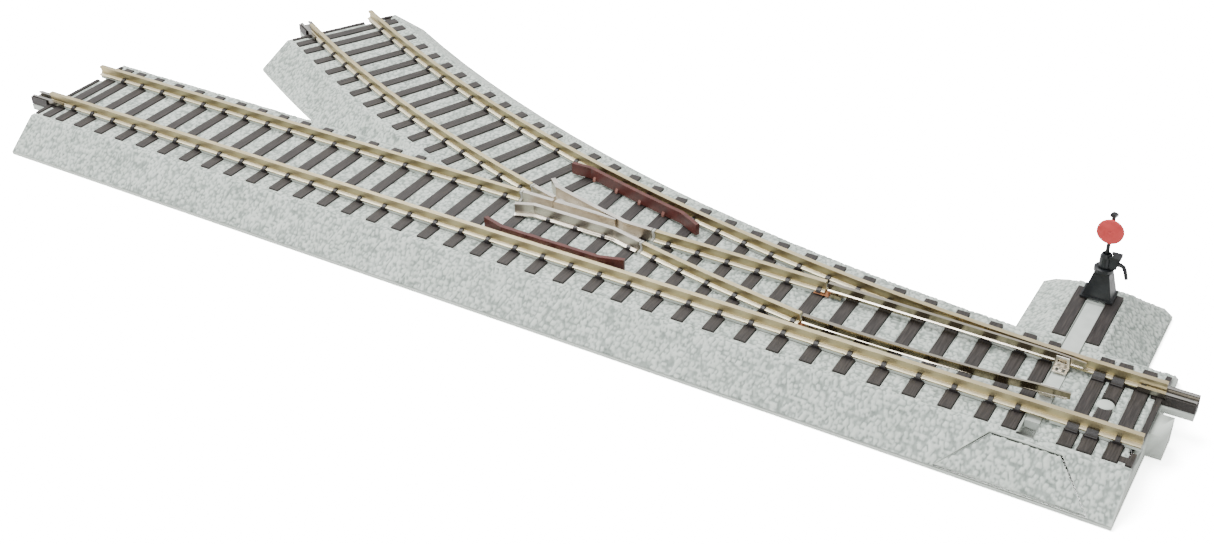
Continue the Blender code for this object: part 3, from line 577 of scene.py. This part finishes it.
crossings = [(x, -GAUGE_HALF, 0.0, NEAR if x > NEAR_CLEAR else BOTH) for x in MAIN_TIES + [LAST_TIE]]
crossings += [(x, GAUGE_HALF, 0.0, BOTH) for x in MAIN_TIES if x < FROG_FROM or FROG_TO < x < BLADES_FROM]
crossings += [(LAST_TIE, GAUGE_HALF, 0.0, BOTH)]
crossings += [(*branch(a, side * GAUGE_HALF), a, BOTH) for a in BRANCH_TIES for side in (-1, 1)
              if side > 0 or a > BRANCH_INNER_FROM]
for x in MAIN_TIES:
    if x > CURVED_STOCK_FROM:
        sides = FAR if x > FAR_CLEAR else BOTH
        crossings.append((x, curve_y(x, GAUGE_HALF), curve_turn(x, GAUGE_HALF), sides))
    if FROG_TO < x < BLADES_FROM:
        crossings.append((x, curve_y(x, -GAUGE_HALF), curve_turn(x, -GAUGE_HALF), BOTH))
print(len(crossings), "crossings")

# %% Spikes, plates and chairs
# Sections in mm: out from the rail's middle, and up.
SPIKE = [(1.54, 10.3), (1.82, 10.3), (1.8, 11.2), (1.55, 11.62), (0.8, 12.0), (0.45, 12.0), (0.42, 11.74),
         (0.9, 11.6), (1.54, 11.4)]
CHAIR = [(1.54, 10.3), (2.7, 10.3), (2.55, 10.7), (1.95, 11.25), (0.95, 11.9), (0.45, 11.9), (0.42, 11.74),
         (0.9, 11.6), (1.54, 11.4)]


def gripped(pieces, spot, section, half_wide, sides):
    """One section on each side of a rail, as long along it as twice half_wide."""
    for side in sides:
        pieces.rings([[spot(along, side * out, z) for out, z in section]
                      for along in (-half_wide, half_wide)])


def plate(pieces, spot, half_long, half_wide):
    """A low pad with a slightly narrower top."""
    corners = ((-1, -1), (1, -1), (1, 1), (-1, 1))
    pieces.rings([[spot(u * half_long * grow, v * half_wide * grow, z) for u, v in corners]
                  for z, grow in ((10.3, 1.0), (10.75, 1.0), (10.95, 0.94))])


fixings = Pieces()
for x, y, turn, sides in crossings:
    spot = crossing(x, y, turn)
    plate(fixings, spot, 1.15, 1.56)
    gripped(fixings, spot, SPIKE, 0.68, sides)
for x in CHAIRS:
    for y in (-GAUGE_HALF, GAUGE_HALF):
        spot = crossing(x, y, 0.0)
        plate(fixings, spot, 1.6, 2.8)
        gripped(fixings, spot, CHAIR, 1.55, BOTH)
WING_SPIKE = [(out + 0.15, z - 0.15) for out, z in SPIKE[:4]] + [(1.1, 11.75), (1.1, 11.4), (1.85, 11.15)]
for x in WING_TIES:
    spot = crossing(x, WING_Y if x < WING_BEND else curve_y(x, -GAUGE_HALF), 0.0)
    gripped(fixings, spot, WING_SPIKE, 0.6, NEAR)
fixings.made("spikes_and_tie_plates", "base", spike_plastic, "tie")

# %% [markdown]
# ## Ballast beneath the rails, tie ends round the joiners, feet of the guard rails
# Ballast is heaped up to the foot of the rail between the ties, so no daylight shows below it: a
# narrow strip under each rail does that. Each end of the track that has a joiner also carries a
# dark tray that holds the joiner's outer half. And each guard rail stands on small feet, one on
# each tie, that show along its near side.

# %% Strips beneath the rails
FROG_LEFT, FROG_RIGHT = 183.4, 229.2
BED = [(-1.15, 9.9), (1.15, 9.9), (1.15, 10.8), (-1.15, 10.8)]


def along(pieces, spots, section):
    """Sweeps (side, z) pairs through spots that carry their own turn."""
    pieces.rings([[spot(0, side, z) for side, z in section] for spot in spots])


def straight_spots(first, last, y):
    """The two ends of a straight line along the track."""
    return [crossing(x, y, 0.0) for x in (first, last)]


def curved_spots(first, last, offset, steps):
    """Spots along the branch between two angles in degrees."""
    turns = [first + (last - first) * i / steps for i in range(steps + 1)]
    return [crossing(*branch(turn, offset), turn) for turn in turns]


bed = Pieces()
for first, last, y in ((0.3, 350.6, -GAUGE_HALF), (358.2, LENGTH - 0.3, -GAUGE_HALF),
                       (0.3, FROG_LEFT, GAUGE_HALF), (FROG_RIGHT, BLADES_FROM, GAUGE_HALF)):
    along(bed, straight_spots(first, last, y), BED)
along(bed, curved_spots(29.9, 2.4, GAUGE_HALF, 40), BED)
along(bed, curved_spots(29.9, 17.2, -GAUGE_HALF, 20), BED)
closure = [curve_turn(x, -GAUGE_HALF) for x in (FROG_RIGHT, BLADES_FROM)]
along(bed, curved_spots(*closure, -GAUGE_HALF, 8), BED)
bed.made("ballast_beneath_rails", "base", ballast_stone, "ballast")

# %% Trays round the joiners
WALLS = ([(2.1, 10.2), (2.6, 10.2), (2.6, 11.7), (2.1, 11.7)],
         [(-2.6, 10.2), (-2.1, 10.2), (-2.1, 11.7), (-2.6, 11.7)])
END_WALL = [(-2.1, 10.2), (2.1, 10.2), (2.1, 10.75), (-2.1, 10.75)]
joiner_ends = [((0.0, -GAUGE_HALF), 0.0, -1), ((LENGTH, GAUGE_HALF), 0.0, 1),
               (branch(ARC_DEG, -GAUGE_HALF), ARC_DEG, -1)]
trays = Pieces()
for (x, y), turn, way in joiner_ends:
    spot = crossing(x, y, turn)
    for wall in WALLS:
        trays.rings([[spot(way * out, side, z) for side, z in wall] for out in (0.4, 8.15)])
    trays.rings([[spot(way * out, side, z) for side, z in END_WALL] for out in (8.05, 8.15)])
trays.made("joiner_trays", "base", tie_plastic, "tie", ease=0.1)

# %% Feet of the guard rails
FOOT = [(0.0, 10.4), (0.75, 10.4), (0.6, 11.1), (0.0, 12.1)]
FLARE = 6                # mm at each end of a guard rail, where it bends away and has no feet
GUARD_LINE = GAUGE_HALF - 3.95
# The feet get a paler oxide red than the guard rails.
pale_red = moulded("moulded_oxide_red_pale", "6B4038", "93695F", (0.4, 0.5))
feet = Pieces()


def ties_along(node):
    """The straight track's ties that cross a node, all but its flared ends."""
    low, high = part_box(node)
    return [x for x in MAIN_TIES if low[0] + FLARE * MM < at(x, 0).x < high[0] - FLARE * MM]


for x in ties_along("guard_rail_main"):
    spot = crossing(x, -GUARD_LINE, 0.0)
    feet.rings([[spot(out, side, z) for side, z in FOOT] for out in (-0.5, 0.5)])
for x in ties_along("guard_rail_branch"):
    spot = crossing(x, curve_y(x, GUARD_LINE), curve_turn(x, GUARD_LINE))
    feet.rings([[spot(out, -side, z) for side, z in FOOT] for out in (-0.5, 0.5)])
feet.made("guard_rail_feet", "base", pale_red, "guard_plastic", ease=0.1)

# %% [markdown]
# ## The blade clips
# A folded strip of plated sheet ties each blade to the throw bar. It has a window in its upright
# half and another in its flat half, round the peg that goes down into the throw bar. A frame with
# a window is a ring of four bars, so it is built as four corners outside and four inside, front
# and back.

# %% Folded clips with two windows


def window(pieces, corner_spots, hole_spots, thick):
    """A flat frame: four outer spots, four inner spots, and an offset for its thickness."""
    start = len(pieces.points)
    for shift in (Vector((0, 0, 0)), Vector(thick)):
        pieces.points += [at(*(Vector(p) + shift)) for p in (*corner_spots, *hole_spots)]
    for i in range(4):
        j = (i + 1) % 4
        a, b, c, d = start + i, start + j, start + 4 + j, start + 4 + i
        pieces.faces += [[a, b, c, d], [a + 8, d + 8, c + 8, b + 8],
                         [a, a + 8, b + 8, b], [d, c, c + 8, d + 8]]


HEEL_X, PIVOT_X, BLADE_TIP, BAR_X, TRAVEL = 286.3, 289.5, 360.4, 354.3, 6.2
HALF_BLADE = 0.65        # mm from a blade's face to the middle of its heel


def straight_face(x):
    """The y of the straight blade's inner face, which leans in by 0.72 mm towards its tip."""
    return 11.17 - 0.72 * (x - HEEL_X) / (BLADE_TIP - HEEL_X)


def curved_face(x):
    """The y of the curved blade's inner face when it lies against its stock rail."""
    return max(curve_y(x, -GAUGE_HALF) + 0.75, -10.26)


def clip(name, face_y, side, pivot, swing):
    """A blade's clip, drawn at the blade's face and swung about the blade's pivot."""
    turn = Matrix.Rotation(radians(swing), 3, "Z")
    centre = Vector((*pivot, 0))

    def spot(x, out, z):
        """out is from the blade's face, away from it."""
        return tuple(turn @ (Vector((BAR_X + x, face_y - side * out, z)) - centre) + centre)

    pieces = Pieces()
    upright = [spot(x, 0.32, z) for x, z in ((-2.1, 10.7), (2.1, 10.7), (1.8, 14.0), (-1.8, 14.0))]
    upper_hole = [spot(x, 0.32, z) for x, z in ((-1.35, 12.0), (1.35, 12.0), (1.1, 13.35), (-1.1, 13.35))]
    away = turn @ Vector((0, -side * 0.35, 0))
    window(pieces, upright, upper_hole, away)
    flat = [spot(x, out, 10.3) for x, out in ((-2.1, 0.4), (2.1, 0.4), (1.9, 3.1), (-1.9, 3.1))]
    flat_hole = [spot(x, out, 10.3) for x, out in ((-1.3, 1.1), (1.3, 1.1), (1.2, 2.5), (-1.2, 2.5))]
    window(pieces, flat, flat_hole, (0, 0, 0.38))
    pieces.rings([[spot(x, out, z) for x, out in ((-0.5, 1.3), (0.5, 1.3), (0.5, 2.3), (-0.5, 2.3))]
                  for z in (8.45, 10.55)])
    made = pieces.made(name, name.split("_blade")[0] + "_blade_set", frog_plate, "nickel_plate", ease=0.08)
    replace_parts(made, name.replace("_folded", ""))


swing_open = degrees(TRAVEL / (BAR_X - PIVOT_X))
straight_pivot = (PIVOT_X, straight_face(PIVOT_X) + HALF_BLADE)
curved_pivot = (PIVOT_X, curved_face(PIVOT_X) - HALF_BLADE)
clip("straight_blade_clip_folded", straight_face(BAR_X), 1, straight_pivot, 0.0)
clip("curved_blade_clip_folded", curved_face(BAR_X), -1, curved_pivot, swing_open)

# %% [markdown]
# ## Target and lever of the stand
# The target is a thin red disc, a little faceted round its edge, with a dimple where its pin sits.
# The lever is a bent rod that leaves the bracket level and hangs down. Both turn with the spindle.
# A disc and a rod are both rings joined in a row: the disc's rings grow and shrink about one axis,
# and the rod's follow a path.

# %% The disc and the lever
STAND_X, STAND_Y, DISC_Z = 353.5, 48.3, 32.3


def disc_ring(radius, y):
    """A ring about the disc's own axis, y in mm from the stand's middle."""
    return [(STAND_X + radius * cos(2 * pi * i / 24), STAND_Y + y, DISC_Z + radius * sin(2 * pi * i / 24))
            for i in range(24)]


DISC = ((0.2, -1.42), (0.42, -1.6), (3.62, -1.6), (3.76, -1.46), (3.76, -0.98), (3.64, -0.86))
disc = Pieces()
disc.rings([disc_ring(*ring) for ring in DISC])
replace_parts(disc.made("target_disc_dimpled", "target", signal_red, "target_red", smooth=30), "target_disc")

ROD_THICK, ROD_TAPER = 0.66, 0.03
ROD = [(3.2, 21.75), (4.2, 21.95), (5.1, 21.5), (5.7, 20.4), (6.1, 19.1), (6.45, 17.9)]
rod_rings = []
for i, (out, z) in enumerate(ROD):
    before, after = ROD[max(i - 1, 0)], ROD[min(i + 1, len(ROD) - 1)]
    lean = Vector((after[0] - before[0], after[1] - before[1])).normalized()
    thick = ROD_THICK - ROD_TAPER * i
    turns = [2 * pi * k / 12 for k in range(12)]
    rod_rings.append([(STAND_X + out - lean.y * thick * cos(a), STAND_Y + thick * sin(a),
                       z + lean.x * thick * cos(a)) for a in turns])
lever = Pieces()
lever.rings(rod_rings)
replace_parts(lever.made("hand_lever_bent", "target", stand_black, "stand_black", smooth=50), "hand_lever")

# %% [markdown]
# ## Camera
# A product picture of a long object is taken from a little way off with a normal lens, high enough
# to show the tops of the rails. The camera stands in front and to the right, 34 degrees up.

# %% The camera
camera = bpy.data.objects.new("camera", bpy.data.cameras.new("camera"))
camera.data.sensor_width, camera.data.lens = 36.0, 45.404      # mm
camera.data.clip_start, camera.data.clip_end = 0.01, 20.0
AZIMUTH, ELEVATION, ROLL = radians(31.117), radians(33.92), radians(-1.092)
sight = -Vector((sin(AZIMUTH) * cos(ELEVATION), -cos(AZIMUTH) * cos(ELEVATION), sin(ELEVATION)))
camera.location = at(417.65, -326.82, 259.74)
camera.rotation_mode = "QUATERNION"
camera.rotation_quaternion = sight.to_track_quat("-Z", "Y") @ Quaternion((0, 0, 1), ROLL)
bpy.context.scene.collection.objects.link(camera)
bpy.context.scene.camera = camera

# %% [markdown]
# ## Studio
# The object stands on white paper under one large softbox, with a weaker fill from the front and
# white walls all round. Metal shows whatever surrounds it, so the softbox is wide, and the walls
# are dimmer than it. A catalogue picture overexposes its paper until the background is pure white.
# Doing that with light would bleach the object too, so only rays from the camera see the paper as
# that bright: the light that bounces off it, and its shade inside hollows, stay those of paper.

# %% Paper floor and lights
OVEREXPOSED = (9.0, 9.0, 9.0, 1.0)
bpy.ops.mesh.primitive_plane_add(size=6.0, location=(0, 0, -0.0002))
paper = bpy.context.object
paper.name = "paper_floor"
paper_white, tree, shader, where = new_finish("white_paper", "FFFFFF", 0.9)
shader.inputs["Specular IOR Level"].default_value = 0.0
seen = add(tree, "ShaderNodeLightPath").outputs["Is Camera Ray"]
exposed = add(tree, "ShaderNodeMixRGB", {"Fac": seen, "Color1": srgb("F4F4F4"), "Color2": OVEREXPOSED})
tree.links.new(exposed.outputs["Color"], shader.inputs["Base Color"])
paper.data.materials.append(paper_white)
paper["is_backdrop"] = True


def softbox(name, size, power, spot, aim):
    """A rectangular lamp: size in metres, power in watts."""
    light = bpy.data.objects.new(name, bpy.data.lights.new(name, "AREA"))
    light.data.shape, light.data.size, light.data.size_y = "RECTANGLE", *size
    light.data.energy = power
    light.location = spot
    light.rotation_mode = "QUATERNION"
    light.rotation_quaternion = (Vector(aim) - Vector(spot)).to_track_quat("-Z", "Y")
    bpy.context.scene.collection.objects.link(light)


softbox("overhead_softbox", (1.1, 0.8), 27.0, (-0.42, 0.1, 1.05), (0, 0, 0))
softbox("front_fill", (1.1, 0.8), 9.0, (0.2, -1.2, 0.8), (0, 0, 0))
world = bpy.data.worlds.new("white_walls")
world.use_nodes = True
world.node_tree.nodes["Background"].inputs["Color"].default_value = srgb("FFFFFF")
world.node_tree.nodes["Background"].inputs["Strength"].default_value = 0.75
bpy.context.scene.world = world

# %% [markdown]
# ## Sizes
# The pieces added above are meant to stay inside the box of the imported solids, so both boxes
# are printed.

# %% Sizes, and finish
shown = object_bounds()
for name, box in (("cad", cad_box), ("visual", shown)):
    print(name, [tuple(round(v, 4) for v in corner) for corner in box])
